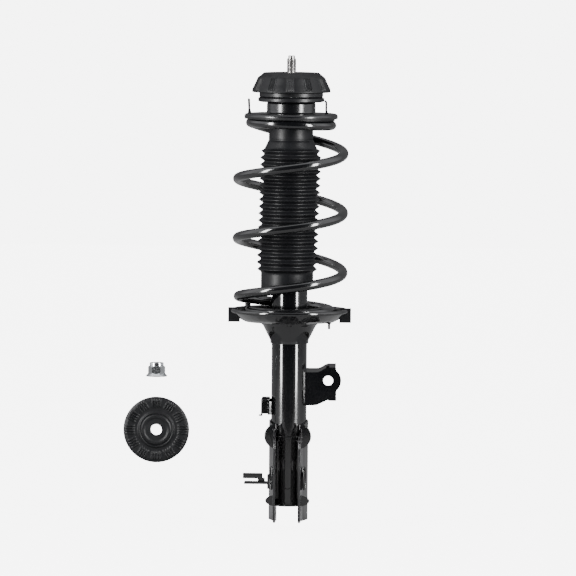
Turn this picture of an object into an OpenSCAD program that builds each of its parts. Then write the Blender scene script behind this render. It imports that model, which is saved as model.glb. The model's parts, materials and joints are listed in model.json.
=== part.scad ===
// Front suspension strut with its coil spring, top mount, knuckle clevis and brackets.
// +Z runs up the damper axis. The origin is at the foot of the tower stud, on the mount's upper face.
// The clevis opens towards -Y, and the stabiliser link bracket reaches out towards +X.

/* [Damper] */
// Outer diameter of the strut tube
tube_d = 45; // [40:1:50]
// Wall of the strut tube
tube_wall = 2; // [1.5:0.25:3]
// Diameter of the piston rod
rod_d = 20; // [18:1:22]
// Radial running clearance of the rod in its guide
rod_clearance = 0.03; // [0.02:0.01:0.08]
// Outer diameter of the pressure cylinder
cylinder_d = 32; // [30:1:34]

/* [Tower stud] */
// Diameter of the stud
stud_d = 12; // [10:1:14]
// Full-diameter length above the mount
stud_h = 17.8; // [15:0.1:22]

/* [Coil spring] */
// Diameter of the spring wire
wire_d = 12; // [10:0.5:13]
// Radius of the coil, at the middle of the wire
coil_r = 67.3; // [64:0.1:69]
// Radius of the drawn-in end coils, at the middle of the wire
end_coil_r = 51.5; // [50:0.1:52]
// Rise of one full turn
coil_pitch = 75.65; // [70:0.05:78]
// Lean of the free coils about the Y axis, in degrees
coil_lean = 2.2; // [0:0.1:3]

/* [Spring seats] */
// Radius of the upper seat's rim
upper_seat_r = 59.5; // [58:0.5:62]
// Radius of the lower seat's rim
lower_seat_r = 75.5; // [73:0.5:78]
// Sheet thickness of both seats
seat_t = 3; // [2:0.5:3.5]

/* [Dust boot] */
// Number of folds
folds = 18; // [12:1:20]
// Radius over the folds
fold_r = 38.7; // [36:0.1:40]
// Height of one fold
fold_h = 8.85; // [8:0.05:9]

/* [Knuckle clevis] */
// Gap between the two ears
ear_gap = 28.6; // [26:0.1:32]
// Plate thickness
ear_t = 3; // [2.5:0.5:4]
// Diameter of the knuckle bolt holes
knuckle_hole_d = 14.2; // [12.2:0.1:16.2]
// Distance of the bolt holes in front of the tube axis
knuckle_reach = 44; // [40:1:48]
// Height of the upper bolt hole
knuckle_upper_z = -499; // [-505:1:-490]
// Height of the lower bolt hole
knuckle_lower_z = -554; // [-556:1:-545]

/* [Link bracket] */
// Diameter of the link stud hole
link_hole_d = 12.5; // [10:0.1:14]
// Distance of the link hole from the tube axis
link_x = 50; // [48:0.5:54]
// Height of the link hole
link_z = -390.3; // [-392:0.1:-388]

/* [Loose parts] */
// Middle of the rebound cap and of the flange nut, to the side of the strut
loose_x = -168.7; // [-200:0.1:-140]
// Height of the rebound cap's middle
cap_z = -456; // [-470:0.5:-440]
// Outer diameter of the rebound cap
cap_d = 84; // [76:1:86]
// Height of the nut's flange face
nut_z = -388; // [-395:0.5:-380]

/* [Hidden] */

$fn = 96;
tube_r = tube_d / 2;
tube_in = tube_r - tube_wall;
rod_r = rod_d / 2;
stud_r = stud_d / 2;
shank_r = stud_r - 0.2;
cyl_r = cylinder_d / 2;
cyl_in = cyl_r - 1;
wire_r = wire_d / 2;
eps = 0.05;

// Heights down the axis.
mount_bottom = -25;
cover_top = -25.3;
cover_bottom = -30.3;
housing_bottom = -37.2;
seat_plate_bottom = -39.7;
cup_top = -40.2;
rod_shoulder = -42.2;
bump_stop_bottom = -112;
upper_flange_top = -51.7;
tube_top = -247;
guide_top = -253;
guide_bottom = -268;
piston_top = -300;
piston_bottom = -318;
spigot_bottom = -331;
seat_floor = -316;
coil_bottom_z = -302.9;
coil_top_z = -64.6;
tube_bottom = -545;

rubber = [0.16, 0.17, 0.18];
black = [0.09, 0.10, 0.11];
zinc = [0.78, 0.79, 0.80];
steel = [0.60, 0.61, 0.63];

// Points on an arc about (cx, cy), from angle a0 to a1, in n steps.
function arc(cx, cy, r, a0, a1, n = 8) =
    [for (i = [0:n]) let (a = a0 + (a1 - a0) * i / n) [cx + r * cos(a), cy + r * sin(a)]];
function clamp01(u) = min(1, max(0, u));
function smooth(u) = let (c = clamp01(u)) c * c * (3 - 2 * c);
// Area under smooth() from 0 to u.
function smooth_area(u) = let (c = clamp01(u)) c * c * c - c * c * c * c / 2 + max(0, u - 1);

// A ring about the axis, between two heights.
module ring(r_out, r_in, z0, z1) {
    translate([0, 0, min(z0, z1)])
        difference() {
            cylinder(r = r_out, h = abs(z1 - z0));
            translate([0, 0, -1]) cylinder(r = r_in, h = abs(z1 - z0) + 2);
        }
}

module disc(r, z0, z1) {
    translate([0, 0, min(z0, z1)]) cylinder(r = r, h = abs(z1 - z0));
}

// A solid through a row of closed rings of points, with both ends closed.
module skin(rings) {
    n = len(rings);
    m = len(rings[0]);
    sides = [for (i = [0:n - 2], j = [0:m - 1])
        [i * m + j, i * m + (j + 1) % m, (i + 1) * m + (j + 1) % m, (i + 1) * m + j]];
    first = [[for (j = [m - 1:-1:0]) j]];
    last = [[for (j = [0:m - 1]) (n - 1) * m + j]];
    polyhedron([for (r = rings) each r], concat(sides, first, last), convexity = 10);
}

// ---- Top mount ----

module mount_rubber() {
    profile = concat([[stud_r + 4, 0], [34.5, 0]], arc(34.5, -3.2, 3.2, 80, 30, 4),
        [[41, -4.4], [42.3, -7], [45.8, -14.6], [48.1, -19.7], [48.8, -22.2], [49.5, mount_bottom],
        [stud_r + 4, mount_bottom]]);
    color(rubber) difference() {
        rotate_extrude() polygon(profile);
        ring(30, stud_r + 3, -12, -8);
    }
}

module mount_core() {
    color(steel) difference() {
        union() {
            disc(stud_r + 4, cup_top, 0);
            disc(30, -12, -8);
        }
        disc(shank_r + eps, cup_top - 1, 1);
    }
}

ball_ring_r = 34;
ball_r = 2.4;
ball_z = -30.45;
balls = 24;

module bearing_cover() {
    color(black) difference() {
        ring(40.5, stud_r + 4, cover_top, cover_bottom);
        rotate_extrude() translate([ball_ring_r, ball_z]) circle(r = ball_r + 0.3, $fn = 32);
    }
}

module bearing_housing() {
    color(black) difference() {
        rotate_extrude() polygon([[13, -30.6], [39.5, -30.6], [42, -32.4], [42, -36.2],
            [39.4, housing_bottom], [13, housing_bottom]]);
        ring(ball_ring_r + 3.2, ball_ring_r - 3.2, -32.2, -30);
        rotate_extrude() translate([ball_ring_r, ball_z]) circle(r = ball_r + 0.05, $fn = 32);
    }
}

module bearing_cage() {
    color("ivory") difference() {
        ring(ball_ring_r + 3, ball_ring_r - 3, -32.0, -30.9);
        for (i = [0:balls - 1]) rotate(i * 360 / balls) translate([ball_ring_r, 0, -34])
            cylinder(r = ball_r + 0.15, h = 6, $fn = 24);
    }
}

module bearing_balls() {
    color(zinc) for (i = [0:balls - 1]) rotate(i * 360 / balls)
        translate([ball_ring_r, 0, ball_z]) sphere(r = ball_r, $fn = 24);
}

module piston_rod() {
    dog_r = 4.2;
    color(zinc) union() {
        disc(dog_r, stud_h - 1, 21.6);
        disc(stud_r, 0, stud_h);
        disc(shank_r, rod_shoulder - 1, 0);
        disc(rod_r, -296, rod_shoulder);
        disc(6, spigot_bottom, -295);
    }
}

module bump_stop_cup() {
    color(black) union() {
        ring(24.8, shank_r + eps, rod_shoulder, cup_top);
        ring(24.8, 22.6, -52, rod_shoulder);
    }
}

module bump_stop() {
    groove = 3;
    bore = rod_r + 0.5;
    bulges = 4;
    pitch = (bump_stop_bottom + 54) / bulges;
    side = [for (i = [0:bulges - 1]) each [[22, -54 + pitch * (i + 0.1)], [22, -54 + pitch * (i + 0.6)],
        [22 - groove, -54 + pitch * (i + 0.85)]]];
    color("tan") rotate_extrude() polygon(concat([[bore, rod_shoulder], [22, rod_shoulder]], side,
        [[16, bump_stop_bottom], [bore, bump_stop_bottom]]));
}

module rebound_bumper() {
    color(black) ring(13.5, rod_r + eps, -278, guide_bottom - 0.3);
}

module rebound_stop() {
    color(steel) ring(13.5, rod_r, -283, -278);
}

module valve_discs() {
    color(steel) union() {
        ring(12, 6, piston_top, -296);
        ring(11, 6, -321, piston_bottom);
    }
}

piston_ports = 6;

module piston() {
    color("dimgray") difference() {
        ring(cyl_in - 0.5, 6, piston_bottom, piston_top);
        ring(cyl_in + 1, cyl_in - 1.5, -313, -305);
        for (i = [0:piston_ports - 1]) rotate(i * 360 / piston_ports) translate([9.5, 0, piston_bottom - 1])
            cylinder(r = 1.2, h = 20, $fn = 16);
    }
}

module piston_band() {
    color("peru") ring(cyl_in - 0.03, cyl_in - 1.5, -313, -305);
}

module piston_nut() {
    color(zinc) difference() {
        translate([0, 0, -329]) cylinder(r = 9.8, h = 8, $fn = 6);
        disc(6, -330, -320);
    }
}

// ---- Upper spring seat ----

hat_r = 31;

module upper_spring_seat() {
    t = seat_t;
    lip = -58.5;
    top = upper_flange_top;
    outer = concat([[13, housing_bottom]], arc(hat_r - 3, housing_bottom - 3, 3, 90, 0, 5),
        arc(hat_r + 3, top + 3, 3, 180, 270, 5), arc(upper_seat_r - 4, top - 4, 4, 90, 0, 5),
        [[upper_seat_r - 0.6, lip], [upper_seat_r - t - 0.2, lip]]);
    inner = concat([[upper_seat_r - t, top - 4]], arc(upper_seat_r - 4, top - 4, 1, 0, 90, 3),
        [[hat_r - 1, top - t]], arc(hat_r - 1, top, 1.6, 270, 180, 3),
        [[hat_r - 2.6, seat_plate_bottom], [13, seat_plate_bottom]]);
    color(black) rotate_extrude() polygon(concat(outer, inner));
}

module upper_spring_pad() {
    wedge_steps = 30;
    function under(a) = min(-55.9, coil_z(a / 360) - tilt_drop(a / 360) + wire_r + 0.2);
    color(rubber) union() {
        ring(55.8, hat_r + 5, -56, -54.7);
        skin([for (i = [0:wedge_steps]) let (a = 190 * i / wedge_steps)
            [for (p = [[47.5, -55.5], [55.5, -55.5], [55.5, under(a)], [47.5, under(a)]])
                [p[0] * cos(-a), p[0] * sin(-a), p[1]]]]);
    }
}

module seat_tangs() {
    spike_foot = 4.7;
    spike_tip = 2.6;
    color(black) union() {
        // Spike on the left: a tapering blade standing on the flange.
        translate([0, 1, 0]) rotate([90, 0, 0]) linear_extrude(2)
            polygon([[-52.7 - spike_foot / 2, upper_flange_top], [-52.7 + spike_foot / 2, upper_flange_top],
                [-53.2 + spike_tip / 2, -46], [-53.6 + spike_tip / 2, -34], [-53.9, -32.8],
                [-53.9 - spike_tip / 2, -34], [-53.2 - spike_tip / 2, -46]]);
        // Hook on the right: it stands up, then bends in to the bearing's edge.
        translate([0, 2, 0]) rotate([90, 0, 0]) linear_extrude(4)
            polygon(concat([[43.2, upper_flange_top]], arc(42.2, -38.2, 1, 0, 90, 4),
                arc(42.2, -38.2, 3.5, 90, 0, 6), [[45.7, -48], [47.2, upper_flange_top]]));
    }
}

boot_wall = 1.8;
boot_neck_r = 27.2;
boot_valley_r = 34;
boot_collar_r = 33.3;
fold_top = -99.1;
collar_bottom = -274.5;

module dust_boot() {
    function fold_points(off) = [for (i = [0:folds - 1]) each [
        [(i == 0 ? 36.2 : i == folds - 1 ? 37.5 : fold_r) - off, fold_top - fold_h * i],
        if (i < folds - 1) [boot_valley_r - off, fold_top - fold_h * (i + 0.5)]]];
    outer = concat([[boot_neck_r + 1.1, -41], [boot_neck_r + 1.1, -44], [boot_neck_r, -45],
        [boot_neck_r, -85.3], [boot_neck_r - 0.6, -85.9], [32.1, -97]], fold_points(0),
        [[boot_collar_r, -253.5], [boot_collar_r, collar_bottom]]);
    w = boot_wall;
    inner = concat([[boot_collar_r - w, collar_bottom], [boot_collar_r - w, -253.5]],
        [for (i = [2 * folds - 2:-1:0]) fold_points(w)[i]],
        [[32.1 - w, -98], [boot_neck_r - w, -86.5], [boot_neck_r - w, -41]]);
    color(rubber) rotate_extrude() polygon(concat(outer, inner));
}

// ---- Damper ----

module strut_tube() {
    color(black) ring(tube_r, tube_in, tube_bottom, tube_top);
}

module base_cup() {
    color(black) difference() {
        union() {
            ring(tube_in, tube_in - 2, -540, tube_bottom);
            rotate_extrude() polygon(concat([[0, tube_bottom]], [[tube_r, tube_bottom]],
                arc(tube_r - 5, tube_bottom - 1, 5, 0, -80, 5), [[0, tube_bottom - 7]]));
        }
        rotate_extrude() polygon([[0, -544.5], [tube_in - 2, -544.5], [15, -547], [0, -548]]);
    }
}

module pressure_cylinder() {
    color(steel) ring(cyl_r, cyl_in, -535, guide_bottom);
}

module base_valve() {
    color(steel) difference() {
        union() {
            disc(cyl_in - 0.01, -535, -530);
            disc(cyl_r + 1, -541, -535);
        }
        for (i = [0:5]) rotate(60 * i) translate([9, 0, -545]) cylinder(r = 1.5, h = 20, $fn = 16);
    }
}

module rod_guide() {
    color("dimgray") difference() {
        ring(tube_in, 12, guide_bottom, guide_top);
        ring(tube_in + 1, tube_in - 1.5, -262, -258);
    }
}

module guide_bush() {
    color("peru") ring(12, rod_r + rod_clearance, guide_bottom, guide_top);
}

module rod_seal() {
    color(rubber) ring(tube_in, rod_r + rod_clearance, guide_top, tube_top);
}

module strike_cap() {
    color(black) union() {
        ring(tube_r + 1.8, rod_r + 1, tube_top, tube_top + 2);
        ring(tube_r + 1.8, tube_r, -262, tube_top);
    }
}

// ---- Coil spring ----

turns = 4.5;
lower_ramp = [3.1, 4.26];
upper_ramp = [0.38, 0.68];

// Height of the wire's middle after t turns down from the top end, before the coils lean.
function coil_z(t) =
    let (top_w = upper_ramp[1] - upper_ramp[0], low_w = lower_ramp[1] - lower_ramp[0])
    max(coil_bottom_z, coil_top_z - coil_pitch * (top_w * smooth_area((t - upper_ramp[0]) / top_w)
        - low_w * smooth_area((t - lower_ramp[0]) / low_w)));
function coil_radius(t) =
    end_coil_r + (coil_r - end_coil_r) * smooth((t - 0.5) / 0.5) * (1 - smooth((t - 3.35) / 0.65));
function tilt_drop(t) = coil_radius(t) * cos(360 * t) * tan(coil_lean) * (1 - smooth((t - 3) / 1));
function coil_point(t) = [coil_radius(t) * cos(-360 * t), coil_radius(t) * sin(-360 * t),
    coil_z(t) - tilt_drop(t)];

module coil_spring() {
    per_turn = 36;
    sides = 12;
    steps = turns * per_turn;
    // Each ring stands square to the wire, on the outward direction and the one across it.
    rings = [for (i = [0:steps])
        let (t = i / per_turn, p = coil_point(t), ahead = coil_point(t + 0.002) - coil_point(t - 0.002),
            u = ahead / norm(ahead), out0 = [cos(-360 * t), sin(-360 * t), 0],
            out1 = out0 - u * (out0 * u), out = out1 / norm(out1), up = cross(u, out))
        [for (j = [0:sides - 1]) let (a = 360 * j / sides) p + wire_r * (cos(a) * out + sin(a) * up)]];
    color(black) skin([for (i = [len(rings) - 1:-1:0]) rings[i]]);
}

// ---- Lower spring seat ----

collar_top_z = -321.6;
collar_low_z = -339.7;
collar_tip_z = -343.8;
scallops = 4;
scallop_r = 11;
scallop_z = -338.5;
nipple_x = 50.5;
nipple_y = -8;
nipple_r = 1.6;

module lower_seat_shell() {
    rim_z = -302.5;
    bead = 2.8;
    t = seat_t;
    floor_in = seat_floor + t;
    outline = concat(arc(lower_seat_r - bead, rim_z, bead, -60, 150, 9),
        [[lower_seat_r - 6.2, -305.5], [62.5, -310.2], [56, floor_in], [26, floor_in], [tube_r, -322],
        [tube_r, collar_tip_z], [tube_r + 1.6, collar_tip_z], [tube_r + 2, collar_low_z],
        [33.5, collar_top_z], [36.5, -318.6],
        [38, seat_floor], [57, seat_floor], [64, -312.4], [70.5, -307.6]]);
    difference() {
        rotate_extrude() polygon(outline);
        // Hole for the pad's nipple.
        translate([nipple_x, nipple_y, -330]) cylinder(r = nipple_r + 0.05, h = 20);
        // Scallops cut into the collar, which leave tongues that reach down the tube.
        for (i = [0:scallops - 1]) rotate(45 + i * 360 / scallops) translate([0, -tube_r - 0.6, scallop_z]) {
            rotate([90, 0, 0]) cylinder(r = scallop_r, h = 20);
            translate([-scallop_r, -20, -20]) cube([2 * scallop_r, 20, 20]);
        }
    }
}

module lower_spring_seat() {
    color(black) lower_seat_shell();
}

module lower_spring_pad() {
    clip_w = 12;
    clip_t = 2.4;
    color(rubber) difference() {
        union() {
            ring(59, 42, seat_floor + seat_t, coil_bottom_z - wire_r - 0.05);
            // Clips folded over the rim at both sides.
            for (side = [0, 180]) rotate(side) translate([0, -clip_w / 2, 0]) {
                translate([58, 0, -309.2]) cube([9, clip_w, 9]);
                translate([63.5, 0, -317]) cube([lower_seat_r + clip_t - 63.5, clip_w, 18]);
            }
            // Locating knob, and a nipple that goes through the seat's floor.
            translate([-54, 18, -309.2]) cylinder(r = 3.7, h = 15.8);
            translate([nipple_x, nipple_y, -325]) cylinder(r = nipple_r, h = 9);
            translate([nipple_x, nipple_y, -318.2]) cylinder(r = 3, h = 9);
        }
        lower_seat_shell();
    }
}

// ---- Knuckle clevis ----

wrap_t = 2.5;
wrap_top = -441.3;
wrap_bottom = -549;
ear_top = -459;
ear_bottom = -568.5;
ear_front = -62;
ear_in = ear_gap / 2;

// Half of the clevis wall in plan, from the back of the tube round to the ear's front edge.
module clevis_half_plan() {
    r0 = tube_r;
    r1 = tube_r + wrap_t;
    x1 = ear_in + ear_t;
    polygon(concat(arc(0, 0, r1, 90, -12, 18), [[x1 + 2.2, -22], [x1, -27], [x1, ear_front],
        [ear_in, ear_front], [ear_in, -24]], arc(0, 0, r0, -52, 90, 22)));
}

// Side outline of the clevis, in Y and Z, which trims its plan.
module clevis_prism() {
    translate([0, 0, ear_bottom]) linear_extrude(wrap_top - ear_bottom) union() {
        clevis_half_plan();
        mirror([1, 0]) clevis_half_plan();
    }
}

module clevis_side() {
    back = tube_r + wrap_t + 1;
    polygon(concat([[back, wrap_top - 8], [0, wrap_top], [-18, wrap_top - 4]],
        arc(ear_front + 14, ear_top - 14, 14, 90, 180, 6),
        arc(ear_front + 12, ear_bottom + 12, 12, 180, 270, 6),
        arc(0, ear_bottom + 8, 8, 270, 350, 5), [[11, wrap_bottom + 2], [back, wrap_bottom]]));
}

// Wing turned out at the ear's front edge; z0 and z1 are its ends and w its width.
module wing(z0, z1, w) {
    zc = (z0 + z1) / 2;
    h = (z1 - z0) / 2;
    translate([ear_in, -29, 0]) rotate([90, 0, 0]) linear_extrude(2.5)
        polygon([for (i = [0:16]) let (a = -90 + 180 * i / 16) [0.5 + w * cos(a), zc + h * sin(a)]]);
}

module knuckle_bracket() {
    color(black) difference() {
        union() {
            intersection() {
                clevis_prism();
                translate([-60, 0, 0]) rotate([90, 0, 90]) linear_extrude(120) clevis_side();
            }
            for (side = [0, 1]) mirror([side, 0, 0]) {
                wing(-475.6, -444, 15);
                wing(-549, -535, 13.3);
            }
        }
        for (z = [knuckle_upper_z, knuckle_lower_z]) translate([-40, -knuckle_reach, z])
            rotate([0, 90, 0]) cylinder(d = knuckle_hole_d, h = 80);
        disc(tube_r, -600, wrap_top + 10);
    }
}

module bracket_reinforcement() {
    y_back = -tube_r;
    color(black) difference() {
        union() {
            intersection() {
                disc(tube_r + 2, -545.5, ear_top - 2);
                translate([-ear_in, y_back - 8, -560]) cube([ear_gap, 15, 120]);
            }
            for (side = [-1, 1]) translate([side * (ear_in - 1) - 1, y_back - 6, -540])
                cube([2, 7.5, 74]);
        }
        disc(tube_r, -600, -400);
        clevis_prism();
    }
}

// ---- Brackets on the tube ----

module link_bracket() {
    front = -12;
    t = 3;
    end_r = 16.5;
    flange_slope = 12;
    flange_z = -378;
    upper = [[31.5, -379.7], [37, -379.5], [41.5, -377.6], [45, -375.2], [49.3, -373.4]];
    lower = [[49.3, -415.9], [45, -417.2], [40, -419.6], [36, -421.4], [31.5, -422]];
    face = concat([[15, -379.7]], upper, [[60, -373.4]], arc(link_x, link_z, end_r, 52, -50, 12),
        [[60, -415.9]], lower, [[15, -422]]);
    function flange(edge, off) = concat([for (p = edge) p], [for (i = [len(edge) - 1:-1:0])
        edge[i] + [0, off]]);
    color(black) difference() {
        union() {
            translate([0, front + t, 0]) rotate([90, 0, 0]) linear_extrude(t) polygon(face);
            // Flanges turned back along the top and the bottom edge; the top one slopes up.
            translate([0, front + 2, flange_z]) rotate([flange_slope, 0, 0])
                translate([0, 20, -flange_z]) rotate([90, 0, 0]) linear_extrude(20)
                    polygon(flange([for (p = concat([[16.5, -379.7]], upper, [[59.3, -373.4]])) p - [0, 0.3]],
                        -t));
            translate([0, front + 22, 0]) rotate([90, 0, 0]) linear_extrude(22)
                polygon(flange(concat([[60, -415.9]], lower, [[16, -422]]), t));
        }
        translate([link_x, 20, link_z]) rotate([90, 0, 0]) cylinder(d = link_hole_d, h = 60);
        for (z = [-372.6, -416.7]) translate([link_x - 1, front + 10, z]) rotate([90, 0, 0])
            cylinder(r = 2.2, h = 12, $fn = 32);
        disc(tube_r, -500, -300);
    }
}

module hose_bracket() {
    color(black) difference() {
        union() {
            translate([-56, -13, -523.1]) cube([36, 15, 3]);
            translate([-58, -1, -517]) cube([25, 3, 7]);
            translate([-39, -1, -522]) cube([9, 3, 6]);
            translate([-26.5, -13, -529]) cube([3, 15, 18]);
        }
        translate([-47, -7, -530]) cylinder(r = 4.2, h = 20);
        disc(tube_r + wrap_t, -600, -400);
        clevis_prism();
    }
}

module sensor_bracket() {
    t = 1.8;
    color(black) difference() {
        union() {
            translate([-35, -14, -434.5]) cube([t, 18, 20]);
            translate([-26.4, -14, -434.5]) cube([t, 18, 20]);
            translate([-35, 2.2, -434.5]) cube([15, t, 20]);
            translate([-34, -13, -416]) cube([10, 16, 3.6]);
            // Slanting tab that reaches the tube.
            translate([-25.4, -12.5, -434.5]) rotate(25) cube([7, t, 17]);
            translate([-37.6, -14, -436]) cube([4.4, 6, t]);
        }
        disc(tube_r, -500, -400);
    }
}

// ---- Loose parts ----

cap_ribs = 12;
cap_depth = 9;
cap_hole_r = 7.1;

// Turns a shape that is built about Z so that it faces -Y at the cap's place.
module at_cap() {
    translate([loose_x, 0, cap_z]) rotate([90, 0, 0]) children();
}

ribs_per_group = 4;

module rebound_cap() {
    cap_r = cap_d / 2;
    color(rubber) at_cap() difference() {
        union() {
            rotate_extrude() polygon(concat([[18.2, -cap_depth / 2], [cap_r - 3, -cap_depth / 2]],
                arc(cap_r - 2.5, 0, 2.5, -70, 70, 6),
                [[cap_r - 5, 3.6], [26, 2.2], [21.5, 3.4], [18.2, 3.4]]));
            for (i = [0:cap_ribs - 1], j = [0:ribs_per_group - 1])
                rotate(i * 360 / cap_ribs)
                    translate([28.7, (j - (ribs_per_group - 1) / 2) * 3.4 - 0.7, 0])
                    cube([10, 1.4, 4.4]);
        }
        disc(18.2, -20, 20);
    }
}

module rebound_cap_plate() {
    color(rubber) at_cap() difference() {
        rotate_extrude() polygon([[cap_hole_r, -4.5], [18.2, -4.5], [18.2, 4.6], [15.6, 4.6],
            [13.8, 3.2], [cap_hole_r, 3.2]]);
        disc(cap_hole_r, -20, 20);
    }
}

nut_flange_d = 27;
nut_af = 19;
nut_top = 17.8;

module stud_nut() {
    color(zinc) translate([loose_x, 0, nut_z]) difference() {
        union() {
            rotate_extrude() polygon([[0, 0], [nut_flange_d / 2, 0], [nut_flange_d / 2, 1.6],
                [nut_af / 2 + 0.6, 4.2], [0, 4.2]]);
            translate([0, 0, 3]) cylinder(r = nut_af / sqrt(3), h = 10.3, $fn = 6);
            translate([0, 0, 13]) cylinder(r = 9, h = nut_top - 13);
        }
        translate([0, 0, -1]) cylinder(r = stud_r - 0.9, h = 40);
        translate([0, 0, 14.6]) cylinder(r = 8, h = 2);
    }
}

module nut_lock_ring() {
    color("royalblue") translate([loose_x, 0, nut_z]) ring(8, stud_r - 1.1, 14.6, 16.6);
}

mount_rubber();
mount_core();
bearing_cover();
piston_rod();
bump_stop_cup();
bump_stop();
rebound_bumper();
rebound_stop();
valve_discs();
piston();
piston_band();
piston_nut();
bearing_housing();
bearing_cage();
bearing_balls();
upper_spring_seat();
upper_spring_pad();
seat_tangs();
dust_boot();
strut_tube();
base_cup();
pressure_cylinder();
base_valve();
rod_guide();
guide_bush();
rod_seal();
strike_cap();
lower_spring_seat();
lower_spring_pad();
coil_spring();
knuckle_bracket();
bracket_reinforcement();
link_bracket();
hose_bracket();
sensor_bracket();
rebound_cap();
rebound_cap_plate();
stud_nut();
nut_lock_ring();
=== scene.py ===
"""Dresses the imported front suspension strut: finishes for its parts, and finer meshes for the soft and formed ones.

Every length is in metres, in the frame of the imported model: +Z up the damper axis, origin at the foot of the
tower stud, the knuckle clevis open towards -Y.
"""

from __future__ import annotations

import json
import logging
import math
from dataclasses import dataclass
from enum import Enum
from functools import cache
from typing import Callable, Sequence

import bmesh
import bpy
import numpy as np
from mathutils import Matrix, Vector

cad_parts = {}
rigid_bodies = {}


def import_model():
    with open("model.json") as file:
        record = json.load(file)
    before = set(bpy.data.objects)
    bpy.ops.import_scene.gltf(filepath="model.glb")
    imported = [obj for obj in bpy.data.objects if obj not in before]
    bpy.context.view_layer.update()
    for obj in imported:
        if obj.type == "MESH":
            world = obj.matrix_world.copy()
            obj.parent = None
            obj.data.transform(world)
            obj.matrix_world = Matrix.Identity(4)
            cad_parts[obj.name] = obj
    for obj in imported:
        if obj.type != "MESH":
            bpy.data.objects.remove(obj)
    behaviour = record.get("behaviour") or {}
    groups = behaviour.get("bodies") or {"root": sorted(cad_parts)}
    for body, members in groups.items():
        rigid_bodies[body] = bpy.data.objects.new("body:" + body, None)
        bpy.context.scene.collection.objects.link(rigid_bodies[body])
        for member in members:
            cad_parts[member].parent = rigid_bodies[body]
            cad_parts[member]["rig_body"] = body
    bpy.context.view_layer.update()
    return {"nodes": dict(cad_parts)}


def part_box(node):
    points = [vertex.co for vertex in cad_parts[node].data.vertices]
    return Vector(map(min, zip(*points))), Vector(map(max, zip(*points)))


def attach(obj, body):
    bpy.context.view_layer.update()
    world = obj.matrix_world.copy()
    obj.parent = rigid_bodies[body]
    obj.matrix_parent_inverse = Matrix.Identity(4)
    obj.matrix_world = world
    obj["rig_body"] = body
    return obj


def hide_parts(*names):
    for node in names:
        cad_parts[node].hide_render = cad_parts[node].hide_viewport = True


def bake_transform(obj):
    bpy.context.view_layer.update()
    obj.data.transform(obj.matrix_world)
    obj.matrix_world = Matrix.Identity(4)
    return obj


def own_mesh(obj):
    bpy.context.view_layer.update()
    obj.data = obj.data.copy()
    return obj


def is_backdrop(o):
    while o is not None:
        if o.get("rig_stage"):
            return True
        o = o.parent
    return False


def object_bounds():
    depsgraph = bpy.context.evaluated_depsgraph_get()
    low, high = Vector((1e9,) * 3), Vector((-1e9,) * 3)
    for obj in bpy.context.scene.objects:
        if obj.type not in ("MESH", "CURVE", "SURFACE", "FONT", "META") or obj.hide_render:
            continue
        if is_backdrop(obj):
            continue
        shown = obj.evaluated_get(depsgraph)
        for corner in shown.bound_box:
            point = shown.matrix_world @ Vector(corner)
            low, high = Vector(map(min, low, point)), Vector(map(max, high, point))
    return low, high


LOG = logging.getLogger("strut")
MM = 0.001
TAU = 2.0 * math.pi

DUST_COLOR = (0.32, 0.31, 0.30, 1.0)
DUST_UPWARD = {"From Min": 0.35, "From Max": 1.0}  # the normal's Z from no dust to full dust
DUST_SPOTS = {"From Min": 0.42, "From Max": 0.7}  # the noise from no dust to full dust
BLOTCH_SPAN = {"From Min": 0.3, "From Max": 0.7}  # the part of the noise that moves the roughness

Array = np.ndarray
RadiusChange = Callable[[Array, Array, Array], Array]


class Body(str, Enum):
    """The moving bodies that pieces ride on."""

    MOUNT = "top_mount"
    SEAT = "spring_seat"
    TUBE = "damper_tube"
    CAP = "rebound_cap"
    NUT = "stud_nut"


class Axis(Enum):
    """Which way a turned surface's own axis points in the frame."""

    UP = "up"
    FRONT = "front"


# Node and object building blocks


def add_node(tree: bpy.types.NodeTree, kind: str, values: dict | None = None, **settings) -> bpy.types.Node:
    """Adds a node to a tree.

    Args:
        tree: The tree.
        kind: The node's type.
        values: Value of each named input.
        **settings: The node's properties, which are set before its inputs.

    Returns:
        The node.
    """
    node = tree.nodes.new(kind)
    for name, value in settings.items():
        setattr(node, name, value)
    for socket, value in (values or {}).items():
        node.inputs[socket].default_value = value
    return node


def new_object(name: str, data: bpy.types.ID) -> bpy.types.Object:
    """Makes an object and links it to the scene.

    Args:
        name: Its name.
        data: Its mesh, light or camera.

    Returns:
        The object.
    """
    obj = bpy.data.objects.new(name, data)
    bpy.context.scene.collection.objects.link(obj)
    return obj


def new_group(name: str, inputs: dict[str, float | None], outputs: Sequence[str]):
    """Makes an empty group of shader nodes.

    Args:
        name: The group's name.
        inputs: Default of each input; None makes it a vector.
        outputs: Name of each output, all of them plain numbers.

    Returns:
        The tree, its input node and its output node.
    """
    tree = bpy.data.node_groups.new(name, "ShaderNodeTree")
    for label, default in inputs.items():
        kind = "NodeSocketVector" if default is None else "NodeSocketFloat"
        socket = tree.interface.new_socket(name=label, in_out="INPUT", socket_type=kind)
        if default is not None:
            socket.default_value = default
    for label in outputs:
        tree.interface.new_socket(name=label, in_out="OUTPUT", socket_type="NodeSocketFloat")
    return tree, tree.nodes.new("NodeGroupInput"), tree.nodes.new("NodeGroupOutput")


@cache
def grain_group() -> bpy.types.NodeTree:
    """Fine surface grain as a height, and slower noise as a blotch mask.

    Returns:
        The group, with inputs Vector, Scale, Blotch scale and outputs Height, Blotch.
    """
    tree, source, sink = new_group("surface_grain", {"Vector": None, "Scale": 900.0, "Blotch scale": 40.0},
                                   ("Height", "Blotch"))
    for detail, scale, result in ((3.0, "Scale", "Height"), (4.0, "Blotch scale", "Blotch")):
        noise = add_node(tree, "ShaderNodeTexNoise", {"Detail": detail})
        tree.links.new(source.outputs["Vector"], noise.inputs["Vector"])
        tree.links.new(source.outputs[scale], noise.inputs["Scale"])
        tree.links.new(noise.outputs["Fac"], sink.inputs[result])
    return tree


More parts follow.
